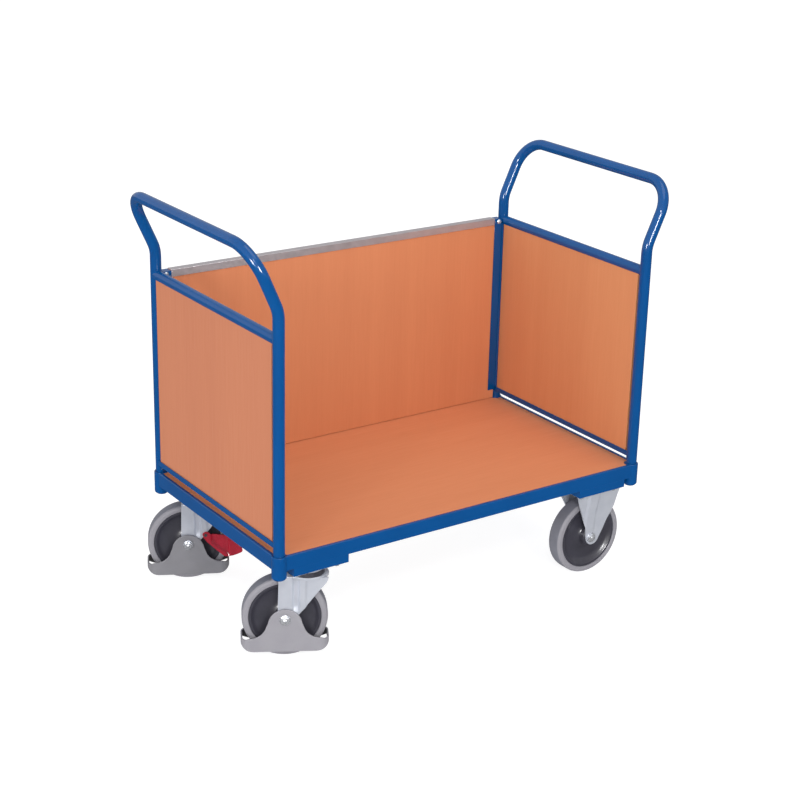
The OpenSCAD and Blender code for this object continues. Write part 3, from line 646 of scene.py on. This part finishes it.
# axles: the face that the washer sits on, and how far the bolt's end stands out from it
guardFace, guardReach = guardLook["halfWidth"], 9.9
bracketFace, bracketReach = bracketLook["inner"] + bracketLook["sheet"], 7.9
makeAxle("nearAxle", "near_castor", nearPlace, guardFace, guardReach, ["near_axle", "near_axle_nut"])
makeAxle("farAxle", "far_castor", farPlace, guardFace, guardReach, ["far_axle", "far_axle_nut"])
for roll, place in (("near_fixed_roll", nearFixedPlace), ("far_fixed_roll", farFixedPlace)):
    makeAxle(roll + "_axle", "truck", place, bracketFace, bracketReach, ["fixed_axles", "fixed_axle_nuts"])
makePedal("brakePedal", "pedal", farPlace, ["brake_pedal"])
print("castors made")
edgeRadius = {"steel": 0.0012, "trim": 0.0005, "deck": 0.0008, "wall": 0.0006}
for node in ("side_rails", "end_rails", "castor_members", "end_channels", "back_uprights", "corner_sockets"):
    roundedCopy(node, edgeRadius["steel"], blue)
roundedCopy("back_trim", edgeRadius["trim"], trimMetal)
deck = roundedCopy("deck_board", edgeRadius["deck"], deckFinish)
# faces turned down take the dark underside tone, which paints the shade under the deck
deck.data.materials.append(deckUnderShade)
for face in deck.data.polygons:
    if face.normal.z < -0.5:
        face.material_index = 1
# the back board's bottom reaches down to the rail, which closes the thin dark gap
backBoard = roundedCopy("back_board", edgeRadius["wall"], backFinish)
boardGap = 0.0045
boardLow = boxOf("back_board")[0].z
for vertex in backBoard.data.vertices:
    if vertex.co.z < boardLow + 0.001:
        vertex.co.z -= boardGap
roundedCopy("left_board", edgeRadius["wall"], leftShadedBoard)
roundedCopy("right_board", edgeRadius["wall"], rightLitBoard)
print("frame and boards made")


# floor, lights and camera
# the floor is a light table, so that the shade under the truck stays faint
studio = {"floorSize": 160, "floorTone": (152, 152, 153), "floorDark": (150, 150, 152), "floorGlow": 0.88,
          "sky": 0.72, "below": 0.12, "fromLeft": 0.45}


def makeFloor():
    bm = bmesh.new()
    bmesh.ops.create_grid(bm, x_segments=1, y_segments=1, size=studio["floorSize"] / 2)
    mesh = bpy.data.meshes.new("floor")
    bm.to_mesh(mesh)
    bm.free()
    floor = bpy.data.objects.new("floor", mesh)
    bpy.context.scene.collection.objects.link(floor)
    mat, tree, shader = newMaterial("floorPaint")
    where = coords(tree)
    soft = noise(tree, where, 2, 2, 0.5)
    tone = ramp(tree, soft, [(0.3, linear(*studio["floorDark"])), (0.7, linear(*studio["floorTone"]))])
    tree.links.new(tone, shader.inputs["Base Color"])
    shader.inputs["Roughness"].default_value = 0.7
    shader.inputs["Specular IOR Level"].default_value = 0.0
    shader.inputs["Emission Color"].default_value = (1, 1, 1, 1)
    shader.inputs["Emission Strength"].default_value = studio["floorGlow"]
    floor.data.materials.append(mat)
    floor.visible_glossy = False


makeFloor()


def areaLight(name, place, aim, size, power):
    data = bpy.data.lights.new(name, "AREA")
    data.shape = "RECTANGLE"
    data.size, data.size_y = size
    data.energy = power
    light = bpy.data.objects.new(name, data)
    light.location = place
    light.rotation_euler = (Vector(aim) - Vector(place)).to_track_quat("-Z", "Y").to_euler()
    bpy.context.scene.collection.objects.link(light)
    return light


areaLight("keyLight", (-2.2, -3.4, 3.0), (0, 0, 0.5), (0.35, 0.35), 34)
areaLight("overheadLight", (0.4, -1.0, 3.8), (0, 0, 0.4), (2.4, 2.4), 34)
areaLight("frontLight", (-0.9, -3.6, 1.6), (0.1, 0, 0.8), (0.25, 0.8), 20)
areaLight("leftLight", (-3.3, -1.9, 1.3), (0.1, 0, 0.8), (0.25, 0.6), 16)
# wide panels seen only in the gloss, which draw the streaks on the bent tubes
glossPanels = {"frontPanel": ((-1.0, -3.7, 1.5), (1.0, 1.0), 110), "leftPanel": ((-3.4, -2.0, 1.3), (1.0, 0.9), 100)}
for name, (place, size, power) in glossPanels.items():
    panel = areaLight(name, place, (0.1, 0, 0.8), size, power)
    panel.visible_diffuse = False


def makeWorld():
    # soft light from above, stronger from the left end and dim below the horizon, where the floor takes over
    world = bpy.data.worlds.new("studioWorld")
    world.use_nodes = True
    tree = world.node_tree
    direction = tree.nodes.new("ShaderNodeTexCoord")
    split = tree.nodes.new("ShaderNodeSeparateXYZ")
    tree.links.new(direction.outputs["Generated"], split.inputs["Vector"])
    level = remap(tree, split.outputs["Z"], -0.12, 0.0, studio["below"], studio["sky"])
    background = tree.nodes["Background"]
    background.inputs["Color"].default_value = (1, 1, 1, 1)
    slant = remap(tree, split.outputs["X"], -1, 1, 1 + studio["fromLeft"], 1 - studio["fromLeft"])
    product = tree.nodes.new("ShaderNodeMath")
    product.operation = "MULTIPLY"
    tree.links.new(level, product.inputs[0])
    tree.links.new(slant, product.inputs[1])
    tree.links.new(product.outputs[0], background.inputs["Strength"])
    bpy.context.scene.world = world


makeWorld()
bpy.context.scene.view_settings.view_transform = "Standard"

cameraSet = {"focal": 1764.67, "place": (-2338.8, -3361.6, 2006.7), "yaw": 0.6073, "pitch": 0.3591,
             "roll": -0.0239}


def makeCamera():
    # the truck's posts are centred a little behind the origin, which the camera follows
    postMiddle = middle("corner_sockets")
    place = Vector(cameraSet["place"]) / 1000 + Vector((0, postMiddle.y, 0))
    yaw, pitch, roll = cameraSet["yaw"], cameraSet["pitch"], cameraSet["roll"]
    ahead = Vector((math.sin(yaw) * math.cos(pitch), math.cos(yaw) * math.cos(pitch), -math.sin(pitch)))
    right = Vector((math.cos(yaw), -math.sin(yaw), 0))
    down = ahead.cross(right)
    rightTurned = math.cos(roll) * right + math.sin(roll) * down
    downTurned = -math.sin(roll) * right + math.cos(roll) * down
    data = bpy.data.cameras.new("camera")
    data.sensor_width = 36
    data.lens = cameraSet["focal"] / 800 * 36
    data.clip_end = 100
    camera = bpy.data.objects.new("camera", data)
    turn = Matrix((rightTurned, -downTurned, -ahead)).transposed().to_4x4()
    camera.matrix_world = Matrix.Translation(place) @ turn
    bpy.context.scene.collection.objects.link(camera)
    bpy.context.scene.camera = camera


makeCamera()
print("stage, lights and camera made")
